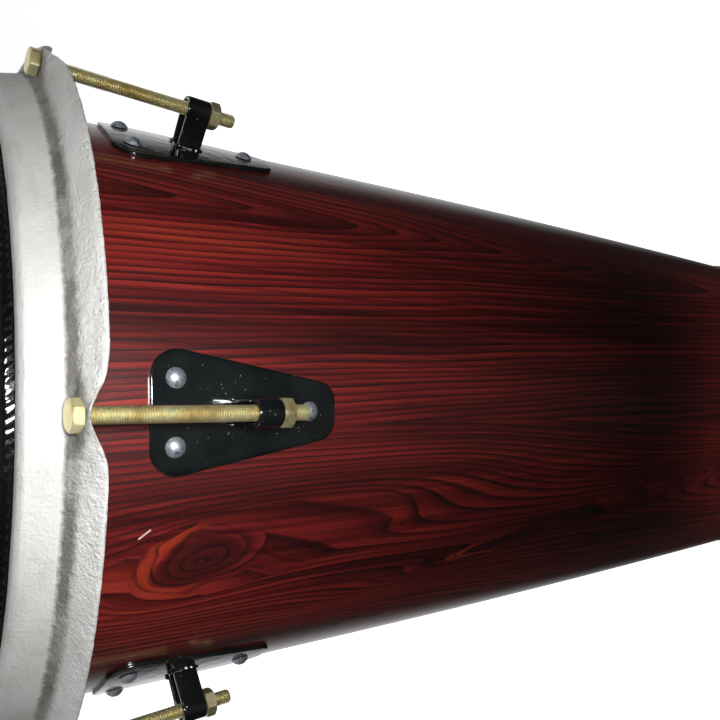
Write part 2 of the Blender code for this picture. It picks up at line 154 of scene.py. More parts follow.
# Lug brackets
PLATE_TOP_DEPTH = 0.0588
PLATE_LENGTH = 0.0992
PLATE_THICKNESS = 0.002
PLATE_TOP_HALF_WIDTH = 0.0298
PLATE_FOOT_HALF_WIDTH = 0.0152
PLATE_TOP_CORNER = 0.0135
PLATE_FOOT_CORNER = 0.0100
PLATE_BEVEL = 0.0006
PLATE_ROWS = 40
PLATE_COLUMNS = 18
PLATE_DRILL = (-0.004, 0.008)
STRAP_ALONG_BOLT = 0.0868
STRAP_WIDTH = 0.0135
STRAP_THICKNESS = 0.0024
STRAP_ROUND = 0.0007
STRAP_INNER_RADIUS = 0.0048
STRAP_FOOT_HALF = 0.0062
STRAP_LEG_STEPS = 6
STRAP_BEND_STEPS = 20
STRAP_LUMPS = 0.00006
WELD_RADIUS = 0.0019
WELD_OVERRUN = 0.0030       # how much longer a bead is than the strap is wide
WELD_ASIDE = 0.0011         # from the strap's foot to the bead's centre, sideways and outward
WELD_OUT = 0.0012
WELD_BROAD = 1.15
WELD_STEPS = 30
WELD_SIDES = 14

# Lug screws and their nuts
SCREW_DEPTHS = (0.0707, 0.0707, 0.1420)
SCREW_OFFSETS = (-0.0160, 0.0160, 0.0)
SCREW_HEAD_RADIUS = 0.005
SCREW_HEAD_HEIGHT = 0.0032
SCREW_HEAD_INNER = 0.0015
SCREW_RADIUS = 0.0024
SCREW_PITCH = 0.0008
SCREW_THREAD_DEPTH = 0.00045
SCREW_THREAD_SIDES = 14
SCREW_HOLE_RADIUS = 0.0029
SCREW_NUT_FLATS = 0.010
SCREW_NUT_HEIGHT = 0.0046
SCREW_NUT_BORE = 0.87       # share of the hole's radius
SCREW_NUT_SEED = 3
SCREW_TAIL = 0.002
SCREW_NUT_GAP = 0.0006

# Base
BASE_RING_WALL = 0.0025
BASE_RING_ROUND = 0.0011
INNER_RING_THICKNESS = 0.006
INNER_RING_ROUND = 0.0016


# ---------------------------------------------------------------- shader building

class Value:
    """A node's output that can be used in sums; each sign adds a Math node."""

    def __init__(self, nodes, socket):
        self.nodes = nodes
        self.socket = socket

    def __add__(self, other):
        return self.nodes.math("ADD", self, other)

    def __sub__(self, other):
        return self.nodes.math("SUBTRACT", self, other)

    def __rsub__(self, other):
        return self.nodes.math("SUBTRACT", other, self)

    def __mul__(self, other):
        return self.nodes.math("MULTIPLY", self, other)

    def __truediv__(self, other):
        return self.nodes.math("DIVIDE", self, other)

    def __pow__(self, other):
        return self.nodes.math("POWER", self, other)


class Nodes:
    """A node tree whose nodes are added and linked in one call each."""

    def __init__(self, tree):
        self.tree = tree

    def feed(self, socket, value):
        """Link a value to a socket, or set the socket to a constant."""
        if isinstance(value, Value):
            self.tree.links.new(value.socket, socket)
        elif value is not None:
            socket.default_value = value

    def node(self, kind, output, inputs, **settings):
        """Add a node, feed its inputs by name or number, and give one of its outputs."""
        made = self.tree.nodes.new("ShaderNode" + kind)
        for key, value in settings.items():
            setattr(made, key, value)
        for key, value in inputs.items():
            self.feed(made.inputs[key], value)
        return Value(self, made.outputs[output])

    def math(self, operation, *values, clamp=False):
        return self.node("Math", 0, dict(enumerate(values)), operation=operation, use_clamp=clamp)

    def between(self, value, low, high, to_low=0.0, to_high=1.0):
        """Map a range smoothly to another, without running past its ends."""
        inputs = {"Value": value, "From Min": low, "From Max": high, "To Min": to_low, "To Max": to_high}
        return self.node("MapRange", 0, inputs, interpolation_type="SMOOTHSTEP")

    def window(self, value, start, full, fall, end):
        """1 from full to fall, easing to 0 at start and at end."""
        return self.between(value, start, full) * self.between(value, fall, end, 1.0, 0.0)


class Shader(Nodes):
    """A material whose surface is one Principled shader; its inputs are named with _ for a space."""

    def __init__(self, name, **constants):
        self.material = bpy.data.materials.new(name)
        self.material.use_nodes = True
        super().__init__(self.material.node_tree)
        self.set(**constants)

    def set(self, **inputs):
        surface = self.tree.nodes["Principled BSDF"]
        for name, value in inputs.items():
            self.feed(surface.inputs[name.replace("_", " ")], value)

    def finish(self, color, roughness, normal=None, **others):
        self.set(Base_Color=color, Roughness=roughness, Normal=normal, **others)
        return self.material

    def place(self):
        """The frame's coordinates at rest."""
        return self.node("TexCoord", "Object", {})

    def split(self, vector):
        parts = self.node("SeparateXYZ", 0, {0: vector}).socket.node
        return [Value(self, output) for output in parts.outputs]

    def join(self, x, y, z):
        return self.node("CombineXYZ", 0, {0: x, 1: y, 2: z})

    def noise(self, vector, scale, detail=2.0, roughness=0.5, distortion=0.0):
        """Noise of a scale, which may differ along the three axes."""
        if isinstance(scale, tuple):
            vector = self.node("VectorMath", 0, {0: vector, 1: scale}, operation="MULTIPLY")
            scale = 1.0
        return self.node("TexNoise", "Fac", {"Vector": vector, "Scale": scale, "Detail": detail,
                                             "Roughness": roughness, "Distortion": distortion})

    def white(self, value):
        """A random number for each whole value."""
        return self.node("TexWhiteNoise", "Value", {"W": value}, noise_dimensions="1D")

    def cells(self, vector, scale):
        return self.node("TexVoronoi", "Distance", {"Vector": vector, "Scale": scale})

    def ramp(self, value, *stops):
        """Colour stops as (position, (r, g, b))."""
        made = self.node("ValToRGB", "Color", {0: value})
        elements = made.socket.node.color_ramp.elements
        while len(elements) < len(stops):
            elements.new(0.5)
        for element, (position, color) in zip(elements, stops):
            element.position = position
            element.color = (*color, 1.0)
        return made

    def layered(self, color, *layers):
        """Lay plain colours over a colour in turn, each as (how much, (r, g, b))."""
        for factor, tint in layers:
            color = self.node("Mix", 2, {0: factor, 6: color, 7: (*tint, 1.0)}, data_type="RGBA")
        return color

    def bump(self, height, distance):
        return self.node("Bump", "Normal", {"Height": height, "Distance": distance, "Strength": 1.0})


# ---------------------------------------------------------------- materials

# Long rings of flat-sawn figure: four columns of arches round the shell
RING_SPACING = 0.0038
RING_LINE = 0.94            # where in a ring its dark line ends
FIGURE_AT = 0.112           # arc position of the first column of arches
FIGURE_PERIOD = 0.2592
ARCH_RISE = 0.088           # how fast an arch closes along the shell
ARCH_END = 0.722            # height at which the arches would meet
ARCH_POINT = 1.45           # 1 for straight-sided arches, 2 for round ones
SWAY = 0.012

# Knots: arc position, height, half width, half height above and below, rings
KNOTS = (
    (-0.0735, 0.603, 0.0190, 0.0360, 0.0900, 4.3),
    (-0.0880, 0.385, 0.0065, 0.0550, 0.1300, 2.4),
    (0.3300, 0.330, 0.0160, 0.0330, 0.0900, 4.4),
    (-0.3900, 0.520, 0.0130, 0.0300, 0.0900, 3.3),
)
KNOT_LEAN = 0.16
KNOT_PULL = 0.86            # how much of the grain's way round a knot is squeezed beside it

SCRATCH_ARC = -0.0552
SCRATCH_HEIGHT = 0.6340
SCRATCH_SIN, SCRATCH_COS = 0.60, 0.80

YELLOW_ZINC = ((0.62, 0.48, 0.20), (0.80, 0.70, 0.37), (0.84, 0.79, 0.48), (0.64, 0.69, 0.40))
BRIGHT_ZINC = ((0.50, 0.53, 0.57), (0.60, 0.63, 0.67), (0.66, 0.69, 0.73), (0.58, 0.60, 0.66))


def growth_rings(s, arc, z, sheet):
    """Count of growth rings, how squarely they cross the arc, and the knots' cores and flames."""
    sway = (s.noise(sheet, (7.0, 2.6, 1.0)) - 0.5) * SWAY
    wobble = (s.noise(sheet, (60.0, 26.0, 1.0), 1.0) - 0.5) * 2.2 + 1.0
    core, eyes, flame = 0.0, 0.0, 0.0
    for place, height, half_width, above, below, count in KNOTS:
        aside, up = arc - place, z - height
        across = (up * KNOT_LEAN + aside) / half_width
        square = across * across
        rise = up / above
        away = rise * rise + square * wobble
        inside = s.math("SUBTRACT", 1.0, away ** 0.5, clamp=True)
        tail = s.math("MAXIMUM", rise, up / -below) * 0.75
        flow = tail * tail + square * 0.70
        arc = arc - aside * KNOT_PULL / s.math("MAXIMUM", flow, 1.0)
        eyes = inside * count + eyes
        core = s.math("MAXIMUM", inside, core)
        flame = s.window(inside, 0.02, 0.12, 0.24, 0.34) * s.between(rise, -0.2, 0.5) + flame
    across = s.math("PINGPONG", arc - FIGURE_AT, FIGURE_PERIOD / 2)
    across = s.math("ABSOLUTE", across + sway)
    rise = s.math("MAXIMUM", (ARCH_END - z) * ARCH_RISE + sway, 0.0)
    distance = (across ** ARCH_POINT + rise ** ARCH_POINT) ** (1 / ARCH_POINT)
    ripple = s.noise(s.join(arc, z, 0.0), (46.0, 6.0, 1.0)) - 0.5
    seasons = s.noise(s.join(distance, z, 0.0), (64.0, 0.6, 1.0), 0.0) - 0.5
    rings = distance / RING_SPACING + ripple * 0.85 + seasons * 1.9 + eyes
    squareness = across / s.math("MAXIMUM", distance, 0.001)
    return rings, squareness, core, flame


def laminate():
    """Glossy rosewood laminate: dark growth rings along the shell, with arches and knots."""
    s = Shader("rosewood_laminate", IOR=1.5, Specular_IOR_Level=0.30, Coat_Weight=0.8, Coat_Roughness=0.09)
    x, y, z = s.split(s.place())
    arc = s.math("ARCTAN2", x, y * -1.0) * (FIGURE_PERIOD * 4 / tau)
    sheet = s.join(arc, z, 0.0)
    rings, squareness, core, flame = growth_rings(s, arc, z, sheet)

    # Each ring darkens slowly, ends in a thin dark line and starts again pale
    phase = s.math("FRACT", rings)
    number = s.math("FLOOR", rings)
    chance, weight = s.white(number), s.white(number + 0.37)
    edge = s.between(phase, RING_LINE, 1.0, 1.0, 0.0)
    width = (chance * 0.30 + 0.26) * (squareness * 0.7 + 0.3)
    fade = s.noise(sheet, (110.0, 4.0, 1.0), 3.0)
    line = s.between((RING_LINE - phase) / width, 0.0, 1.0, 1.0, 0.0) * edge
    line = line * s.between(fade, 0.30, 0.56, 0.35, 1.0) * (weight * 0.65 + 0.35)
    shade = s.between(phase, 0.15, RING_LINE) * edge * (flame * -0.7 + 1.0)
    thin = s.window(s.math("FRACT", rings * 2.63), 0.62, 0.92, 0.92, 1.0) * s.between(fade, 0.40, 0.62)

    # One short pale scratch near the top, in front
    aside, up = arc - SCRATCH_ARC, z - SCRATCH_HEIGHT
    along = s.math("ABSOLUTE", aside * SCRATCH_SIN - up * SCRATCH_COS)
    across = s.math("ABSOLUTE", aside * SCRATCH_COS + up * SCRATCH_SIN)
    scratch = s.between(along, 0.0030, 0.0038, 1.0, 0.0) * s.between(across, 0.0003, 0.0006, 1.0, 0.0)

    fibre = s.noise(sheet, (1500.0, 26.0, 1.0), 3.0, 0.65)
    streak = s.noise(sheet, (300.0, 5.0, 1.0), 3.0, 0.6)
    broad = s.noise(sheet, (26.0, 2.4, 1.0))
    dust = s.between(s.noise(s.place(), 900.0), 0.66, 0.74)
    tone = streak * 0.55 + broad * 0.70 + (chance - 0.5) * 0.16
    color = s.ramp(tone, (0.40, (0.030, 0.0028, 0.0028)), (0.55, (0.100, 0.0082, 0.0076)),
                   (0.68, (0.205, 0.0160, 0.0140)), (0.86, (0.300, 0.0340, 0.0180)))
    color = s.layered(
        color,
        (flame * 0.75, (0.330, 0.0360, 0.0150)),
        (shade * 0.66, (0.026, 0.0030, 0.0028)),
        (s.between(core, 0.24, 0.44, 0.0, 0.78), (0.034, 0.0050, 0.0048)),
        (thin * 0.55, (0.012, 0.0028, 0.0026)),
        (line * 0.93, (0.0052, 0.0020, 0.0019)),
        (s.between(fibre, 0.50, 0.74, 0.0, 0.45), (0.022, 0.0040, 0.0036)),
        (scratch, (0.62, 0.48, 0.44)),
        (dust * 0.06, (0.35, 0.30, 0.28)),
    )
    roughness = fibre * 0.16 + line * 0.10 + 0.34
    swell = s.noise(sheet, (22.0, 9.0, 1.0))
    grain = s.bump(fibre - line * 0.6, 0.00006)
    return s.finish(color, roughness, grain, Coat_Normal=s.bump(swell, 0.0004))


def bare_wood():
    """The unfinished inner face: pale plywood with fine pores and some dark stain."""
    s = Shader("bare_wood")
    x, y, z = s.split(s.place())
    sheet = s.join(s.math("ARCTAN2", x, y) * 0.165, z, 0.0)
    warp = s.noise(sheet, (6.0, 2.0, 1.0))
    grain = s.noise(sheet, (150.0, 4.0, 1.0), 4.0, 0.6, 0.6)
    pores = s.noise(sheet, (1800.0, 60.0, 1.0))
    color = s.ramp(grain * 0.6 + warp * 0.5, (0.32, (0.150, 0.075, 0.036)), (0.52, (0.290, 0.165, 0.085)),
                   (0.72, (0.400, 0.255, 0.145)))
    color = s.layered(color, (s.between(pores, 0.55, 0.70, 0.0, 0.45), (0.110, 0.055, 0.028)))
    return s.finish(color, pores * 0.2 + 0.60, s.bump(grain + pores, 0.0002))


def head_film():
    """Black film, glossy at the collar, with fine grain and ripples; hands have dulled its face."""
    s = Shader("black_head_film", IOR=1.5, Specular_IOR_Level=0.1, Coat_Roughness=0.045)
    place = s.place()
    x, y, _ = s.split(place)
    radius = (x * x + y * y) ** 0.5
    grain = s.noise(place, 1600.0, 3.0, 0.6)
    cloud = s.noise(place, 16.0, 3.0)
    wear = s.between(s.noise(place, (40.0, 900.0, 60.0), 2.0, 0.5, 1.5), 0.60, 0.72)
    patches = s.between(s.noise(place, 34.0, 5.0, 0.65), 0.36, 0.66)
    struck = s.window(radius, 0.030, 0.110, 0.135, 0.172) * (patches * 0.8 + 0.2)
    played = s.between(radius, 0.168, 0.1765, 1.0, 0.0)
    color = s.ramp(cloud, (0.30, (0.0014, 0.0015, 0.0019)), (0.70, (0.0032, 0.0034, 0.0042)))
    color = s.layered(color, (wear * 0.35, (0.016, 0.0165, 0.018)), (struck * 0.55, (0.022, 0.0215, 0.021)))
    roughness = wear * 0.18 + cloud * 0.14 + struck * 0.20 + played * 0.26 + 0.12
    relief = s.bump(s.cells(place, 1300.0) * 0.5 + grain, 0.00006)
    ripples = s.bump(s.noise(place, 60.0), 0.0003)
    return s.finish(color, roughness, relief, Coat_Weight=played * -0.85 + 0.85, Coat_Normal=ripples)


def flesh_wrap():
    """Black steel under the film's rim, dull and creased."""
    s = Shader("flesh_hoop_wrap")
    place = s.place()
    crease = s.noise(place, 220.0, 4.0, 0.6)
    color = s.ramp(s.noise(place, 30.0, 3.0), (0.3, (0.006, 0.006, 0.007)), (0.7, (0.022, 0.021, 0.020)))
    return s.finish(color, crease * 0.30 + 0.28, s.bump(crease, 0.0004))


def cast_aluminium():
    """Sand-cast aluminium: a pebbly skin, dressing marks along the rim, painted shade in the groove below the
    band, and the band itself painted darker to hold down its highlight.
    """
    s = Shader("cast_aluminium", Metallic=0.15)
    place = s.place()
    x, y, z = s.split(place)
    ring = s.join(s.math("ARCTAN2", x, y * -1.0) * 0.2, z, (x * x + y * y) ** 0.5)
    pebble = s.noise(place, 620.0, 4.0, 0.62)
    skin = s.noise(place, 210.0, 3.0, 0.6, 0.4)
    marks = s.noise(ring, (620.0, 90.0, 90.0), 3.0, 0.6, 0.5)
    wrinkles = s.noise(ring, (150.0, 800.0, 800.0), 3.0, 0.6, 0.4)
    blotch = s.noise(place, 34.0, 4.0, 0.6)

    depth = HOOP_TOP - z
    # Painted shade: the top and the band are mixed towards a darker grey than the skirt, to hold down the key
    # lamp's strong highlight on the band
    band = s.between(depth, 0.0165, 0.0195, 1.0, 0.0)
    stain = s.between(s.noise(ring, (14.0, 60.0, 60.0), 4.0), 0.52, 0.70, 0.0, 0.34)
    ragged = (skin - 0.5) * 0.0024 + depth
    # Painted shade in the groove between the band and the skirt, made blotchy; the top face is also made
    # slightly darker
    groove_shade = s.window(ragged, 0.0166, 0.0192, 0.0214, 0.0244) * s.between(blotch, 0.38, 0.60, 0.72, 1.0)
    lip = s.between(ragged, 0.0004, 0.0020, 1.0, 0.0)
    groove_shade_and_dark_top = s.math("MAXIMUM", groove_shade * 0.92, lip * 0.10)
    color = s.ramp(blotch, (0.28, (0.56, 0.550, 0.525)), (0.50, (0.69, 0.685, 0.665)),
                   (0.75, (0.77, 0.765, 0.75)))
    # Layers: the band's painted shade, random stains, then the groove's painted shade and the darker top
    color = s.layered(color, (band * 0.30, (0.30, 0.295, 0.28)), (stain, (0.36, 0.345, 0.315)),
                      (groove_shade_and_dark_top, (0.090, 0.084, 0.071)))
    coarse = skin * 1.9 + pebble * 1.2 + marks * 0.9
    relief = coarse * (1.0 - band * 0.75) + pebble * 0.45 + wrinkles * band * 0.45
    return s.finish(color, skin * 0.16 + 0.58, s.bump(relief, 0.00085))


def enamel():
    """Black gloss paint laid on thickly, with runs, dust nibs and small chips down to grey metal."""
    s = Shader("black_enamel", IOR=1.5, Coat_Weight=1.0, Coat_Roughness=0.04)
    place = s.place()
    cloud = s.noise(place, 60.0)
    flow = s.noise(place, 130.0)
    nibs = s.between(s.cells(place, 260.0), 0.0, 0.16, 1.0, 0.0)
    nibs = nibs * s.between(s.noise(place, 120.0, 1.0), 0.52, 0.60)
    chips = s.between(s.noise(place, 760.0, 3.0, 0.65), 0.680, 0.705)
    chips = chips * s.between(s.noise(place, 70.0), 0.47, 0.60)
    color = s.ramp(cloud, (0.3, (0.0028, 0.0042, 0.0042)), (0.7, (0.0075, 0.0095, 0.0092)))
    color = s.layered(color, (chips, (0.46, 0.46, 0.44)))
    normal = s.bump(nibs * 0.30 + flow - chips * 0.25, 0.00028)
    return s.finish(color, chips * 0.30 + cloud * 0.10 + 0.12, normal, Coat_Normal=normal)


def zinc(name, colors):
    """Passivated zinc plate over turned steel, its colour drifting in patches."""
    s = Shader(name, Metallic=0.85)
    place = s.place()
    drift = s.noise(place, 95.0, 3.0, 0.55, 0.8)
    fine = s.noise(place, 1500.0, 3.0, 0.6)
    grime = s.between(s.noise(place, 420.0, 3.0), 0.58, 0.76, 0.0, 0.45)
    color = s.ramp(drift, *zip((0.30, 0.45, 0.58, 0.74), colors))
    color = s.layered(color, (grime, (0.10, 0.085, 0.050)))
    return s.finish(color, fine * 0.22 + 0.27, s.bump(fine, 0.00005))


def painted_zinc():
    """Screw heads of bright zinc, with rags of black paint left on them."""
    s = Shader("painted_zinc")
    place = s.place()
    fine = s.noise(place, 900.0, 3.0, 0.6)
    rags = s.between(s.noise(place, 420.0, 4.0, 0.65, 0.8), 0.585, 0.62)
    color = s.ramp(fine, (0.3, (0.40, 0.44, 0.50)), (0.7, (0.60, 0.64, 0.70)))
    color = s.layered(color, (rags, (0.010, 0.012, 0.012)))
    normal = s.bump(rags * 0.5 + fine, 0.0001)
    return s.finish(color, fine * 0.25 + 0.36, normal, Metallic=rags * -0.85 + 0.85)


def rubber():
    """Dull black rubber, dusty along its foot."""
    s = Shader("rubber")
    place = s.place()
    height = s.split(place)[2]
    grain = s.noise(place, 700.0, 3.0, 0.6)
    dust = s.between(s.noise(place, 40.0, 4.0), 0.42, 0.70) * s.between(height, 0.001, 0.009, 0.8, 0.2)
    color = s.layered((0.016, 0.016, 0.017, 1.0), (dust, (0.110, 0.100, 0.090)))
    return s.finish(color, grain * 0.25 + 0.55, s.bump(grain, 0.00025))


def pale_floor():
    """A plain pale floor with a barely visible mottle."""
    s = Shader("pale_floor", Emission_Strength=0.80)
    mottle = s.noise(s.place(), 3.0, 3.0)
    color = s.ramp(mottle, (0.3, (0.86, 0.86, 0.86)), (0.7, (0.90, 0.90, 0.90)))
    return s.finish(color, mottle * 0.1 + 0.75, Emission_Color=color)


# ---------------------------------------------------------------- mesh building

def shell_radius(height, inset=0.0):
    """Outer radius of the shell at a height, less an inset."""
    depth = SHELL_TOP - height
    return SHELL_TOP_RADIUS - SHELL_TAPER * depth - SHELL_CURVE * depth ** 2 - inset


def shell_slope(height):
    """Angle between the shell's wall and the vertical at a height."""
    return atan2(SHELL_TAPER + 2 * SHELL_CURVE * (SHELL_TOP - height), 1.0)


def arc_points(center, radius, start, end, steps):
    """Points on an arc, ends included; angles are in degrees."""
    cx, cy = center
    angles = [radians(start + (end - start) * i / steps) for i in range(steps + 1)]
    return [(cx + radius * cos(a), cy + radius * sin(a)) for a in angles]


def filleted(points, size, steps=3):
    """A closed outline with each corner replaced by a small curve, at most size long on each side."""
    result = []
    count = len(points)
    for i in range(count):
        before, corner, after = (Vector(points[(i + k) % count]) for k in (-1, 0, 1))
        reach = [min(size, 0.45 * (other - corner).length) for other in (before, after)]
        start = corner + (before - corner).normalized() * reach[0]
        end = corner + (after - corner).normalized() * reach[1]
        for k in range(steps + 1):
            t = k / steps
            result.append(tuple(start * (1 - t) ** 2 + corner * 2 * t * (1 - t) + end * t ** 2))
    return result


def subdivided(outline, counts):
    """A closed outline with counts[i] equal steps on its edge i."""
    points = []
    for i, count in enumerate(counts):
        start, end = Vector(outline[i]), Vector(outline[(i + 1) % len(outline)])
        points += [start.lerp(end, k / count) for k in range(count)]
    return points


def bridged(rings, loop=False):
    """Vertices and faces that join equal closed rings; ends are capped unless they loop."""
    rings = np.asarray(rings, float)
    count, sides = rings.shape[:2]
    index = np.arange(count * sides).reshape(count, sides)
    lower, upper = (index, np.roll(index, -1, 0)) if loop else (index[:-1], index[1:])
    quads = np.stack([lower, np.roll(lower, -1, 1), np.roll(upper, -1, 1), upper], -1).reshape(-1, 4)
    faces = [tuple(face) for face in quads.tolist()]
    if not loop:
        faces += [tuple(index[0].tolist()), tuple(index[-1][::-1].tolist())]
    return rings.reshape(-1, 3), faces


def lathe_rings(profile, segments):
    """One ring round Z for each (radius, height) point of a profile."""
    angle = np.arange(segments) * tau / segments - pi / 2
    return [np.stack([r * np.cos(angle), r * np.sin(angle), np.full(segments, z)], -1) for r, z in profile]


def shaded(mesh, sharp):
    """Shade a mesh smoothly, with edges above an angle in degrees kept sharp."""
    mesh.shade_smooth()
    mesh.set_sharp_from_angle(angle=radians(sharp))
    return mesh


def make_mesh(name, vertices, faces, sharp=35.0, merge=1e-7, shortest=1e-8):
    """A closed mesh with its faces pointing out; open ends are capped, and close points merged."""
    mesh = bpy.data.meshes.new(name)
    mesh.from_pydata(vertices, [], faces)
    work = bmesh.new()
    work.from_mesh(mesh)
    bmesh.ops.remove_doubles(work, verts=work.verts, dist=merge)
    bmesh.ops.dissolve_degenerate(work, edges=work.edges, dist=shortest)
    openings = [edge for edge in work.edges if edge.is_boundary]
    if openings:
        bmesh.ops.holes_fill(work, edges=openings, sides=0)
    bmesh.ops.recalc_face_normals(work, faces=work.faces)
    work.to_mesh(mesh)
    work.free()
    return shaded(mesh, sharp)


def lathed(name, profile, segments=ROUND_SEGMENTS, loop=True, sharp=35.0):
    """A (radius, height) profile turned round Z; unless it loops, its two ends are capped."""
    return make_mesh(name, *bridged(lathe_rings(profile, segments), loop), sharp=sharp)


def joined(name, *meshes, sharp=35.0):
    """One mesh holding the separate bodies of several."""
    work = bmesh.new()
    for mesh in meshes:
        work.from_mesh(mesh)
    result = bpy.data.meshes.new(name)
    work.to_mesh(result)
    work.free()
    return shaded(result, sharp)


def add_object(name, data):
    """Put a mesh, light or camera in the scene."""
    thing = bpy.data.objects.new(name, data)
    bpy.context.scene.collection.objects.link(thing)
    return thing


def boolean(name, base, tool, operation, sharp=35.0):
    """Unite two closed meshes, or cut one with the other."""
    things = [add_object(name, mesh) for mesh in (base, tool)]
    modifier = things[0].modifiers.new("Boolean", "BOOLEAN")
    modifier.operation = operation
    modifier.solver = "MANIFOLD"
    modifier.object = things[1]
    bpy.context.view_layer.update()
    result = bpy.data.meshes.new_from_object(things[0].evaluated_get(bpy.context.evaluated_depsgraph_get()))
    for thing in things:
        bpy.data.objects.remove(thing)
    return shaded(result, sharp)


def drilled(name, mesh, places, radius, low, high, sharp=35.0):
    """A mesh with a round hole along the Z of each place."""
    drills = []
    for place in places:
        drill = lathed("drill", [(radius, low), (radius, high)], 32, loop=False)
        drill.transform(place)
        drills.append(drill)
    return boolean(name, mesh, joined("drills", *drills), "DIFFERENCE", sharp)


def add_piece(name, mesh, material, replaced=None, body="shell_assembly", place=None):
    """Put a mesh in the scene as a piece that rides on a body and may stand for a CAD node."""
    if place is not None:
        mesh = mesh.copy()
        mesh.transform(place)
    mesh.name = name
    mesh.materials.clear()
    mesh.materials.append(material)
    thing = add_object(name, mesh)
    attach(thing, body)
    if replaced:
        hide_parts(replaced)
    return thing


def hexagon_radius(angle, flats):
    """Distance from the axis to a hexagon's side, with its corners slightly rounded."""
    total = sum(max(0.0, cos(angle - pi / 3 * i)) ** HEX_SOFTNESS for i in range(6))
    return flats / 2 * total ** (-1 / HEX_SOFTNESS)


def hex_ring(radii, heights):
    """A ring of points, one for each radius and height."""
    angles = [tau * i / HEX_SIDES for i in range(HEX_SIDES)]
    return [(r * cos(a), r * sin(a), z) for a, r, z in zip(angles, radii, heights)]


def hex_rings(flats, low, high, inner, turn=0.0, chamfer_low=True):
    """Rings of a hexagon whose ends are turned to a cone, from the inside of one end to the other."""
    disc = flats / 2 * HEX_FACE
    outer = [hexagon_radius(tau * i / HEX_SIDES - turn, flats) for i in range(HEX_SIDES)]
    fall = [(r - disc) * tan(HEX_CHAMFER) for r in outer]
    sunk = fall if chamfer_low else [HEX_SEAT] * HEX_SIDES
    bottom, top = [low] * HEX_SIDES, [high] * HEX_SIDES
    return [
        hex_ring([inner] * HEX_SIDES, bottom),
        hex_ring([disc] * HEX_SIDES, bottom),
        hex_ring(outer, [low + f for f in sunk]),
        hex_ring(outer, [high - f for f in fall]),
        hex_ring([disc] * HEX_SIDES, top),
        hex_ring([inner] * HEX_SIDES, top),
    ]


def nut_mesh(name, flats, low, high, bore, turn=0.0):
    """A hexagon nut, chamfered at both ends, with a countersunk bore."""
    sink = bore * NUT_SINK
    rings = hex_rings(flats, low, high, bore + sink, turn)
    rings += [hex_ring([bore] * HEX_SIDES, [z] * HEX_SIDES) for z in (high - sink, low + sink)]
    return make_mesh(name, *bridged(rings, loop=True), sharp=24)


def thread_mesh(name, low, high, radius, depth, pitch, sides):
    """A rod along Z with a helical thread, its lower end chamfered and its upper end plain."""
    shares, levels = zip(*THREAD_SHAPE, (1.0, 1.0))
    start = low - 2 * pitch
    start -= (start / pitch % 1.0) * pitch
    rows = []
    for turn in range(int((high - low) / pitch) + 3):
        for phase, _ in THREAD_SHAPE:
            row = []
            for side in range(sides + 1):
                height = start + (turn + phase + side / sides) * pitch
                height = min(max(height, low), high)
                level = np.interp((height / pitch - side / sides) % 1.0, shares, levels)
                r = min(radius - depth * (1.0 - level), radius - THREAD_TAPER * depth + (height - low))
                angle = tau * side / sides
                row.append((r * cos(angle), r * sin(angle), height))
            rows.append(row)
    width = sides + 1
    faces = [(i * width + j, i * width + j + 1, (i + 1) * width + j + 1, (i + 1) * width + j)
             for i in range(len(rows) - 1) for j in range(sides)]
    return make_mesh(name, [point for row in rows for point in row], faces, merge=2e-6, shortest=1e-6)


# ---------------------------------------------------------------- places

def lug_turn(index):
    """Rotation that carries lug 1, facing -Y, to the lug at index."""
    return Matrix.Rotation(tau * index / LUG_COUNT, 4, "Z")


def bolt_place(index):
    """Frame at a bolt's seat, from its joint: Z runs along the bolt, up through the head."""
    joint = BOLT_JOINTS[index]
    seat = Vector(joint["pos_m"])
    up = -Vector(joint["axis"]).normalized()
    outward = Vector((seat.x, seat.y, 0)).normalized()
    side = Vector((0, 0, 1)).cross(outward)
    turned = Matrix((side, up.cross(side), up)).transposed().to_4x4()
    return Matrix.Translation(seat) @ turned


def strap_place():
    """Frame on the bolt of lug 1, at the middle of its strap."""
    return bolt_place(0) @ Matrix.Translation((0, 0, -STRAP_ALONG_BOLT))


def screw_place(index, depth, offset):
    """Frame at the shell's outer face, its Z pointing straight out of the wall."""
    height = HOOP_TOP - depth
    radius = shell_radius(height)
    outward = Matrix.Rotation(pi / 2 + shell_slope(height), 4, "X")
    side = Matrix.Rotation(offset / radius, 4, "Z")
    return lug_turn(index) @ side @ Matrix.Translation((0, -radius, height)) @ outward


def screw_places():
    """Yield the label and place of every lug screw."""
    for index in range(LUG_COUNT):
        for letter, depth, offset in zip("abc", SCREW_DEPTHS, SCREW_OFFSETS):
            yield f"{index + 1}{letter}", screw_place(index, depth, offset)


# ---------------------------------------------------------------- pieces

def add_shell(wood):
    """The laminate wall, drilled for the lug screws; its inner face is bare wood."""
    edge = SHELL_TOP - BEARING_ROUND
    heights = [SHELL_LOW + (edge - SHELL_LOW) * i / SHELL_ROWS for i in range(SHELL_ROWS + 1)]
    outside = [(shell_radius(z), z) for z in heights]
    inside = [(shell_radius(z, SHELL_WALL), z) for z in reversed(heights[::2])]
    rounded = arc_points((shell_radius(edge) - BEARING_ROUND, edge), BEARING_ROUND, 12, 90, 7)
    crown = [(shell_radius(SHELL_TOP, SHELL_WALL - CROWN_STEP), SHELL_TOP)]
    wall = lathed("shell_wall", outside + rounded + crown + inside)
    places = [place for _, place in screw_places()]
    mesh = drilled("shell_wall", wall, places, SCREW_HOLE_RADIUS, -2 * SHELL_WALL, SHELL_WALL)
    add_piece("shell_wall", mesh, laminate(), "shell")
    mesh.materials.append(wood)
    for face in mesh.polygons:
        middle = face.center
        wall_depth = shell_radius(middle.z) - hypot(middle.x, middle.y)
        face.material_index = int(wall_depth > SHELL_WALL * BARE_DEPTH)


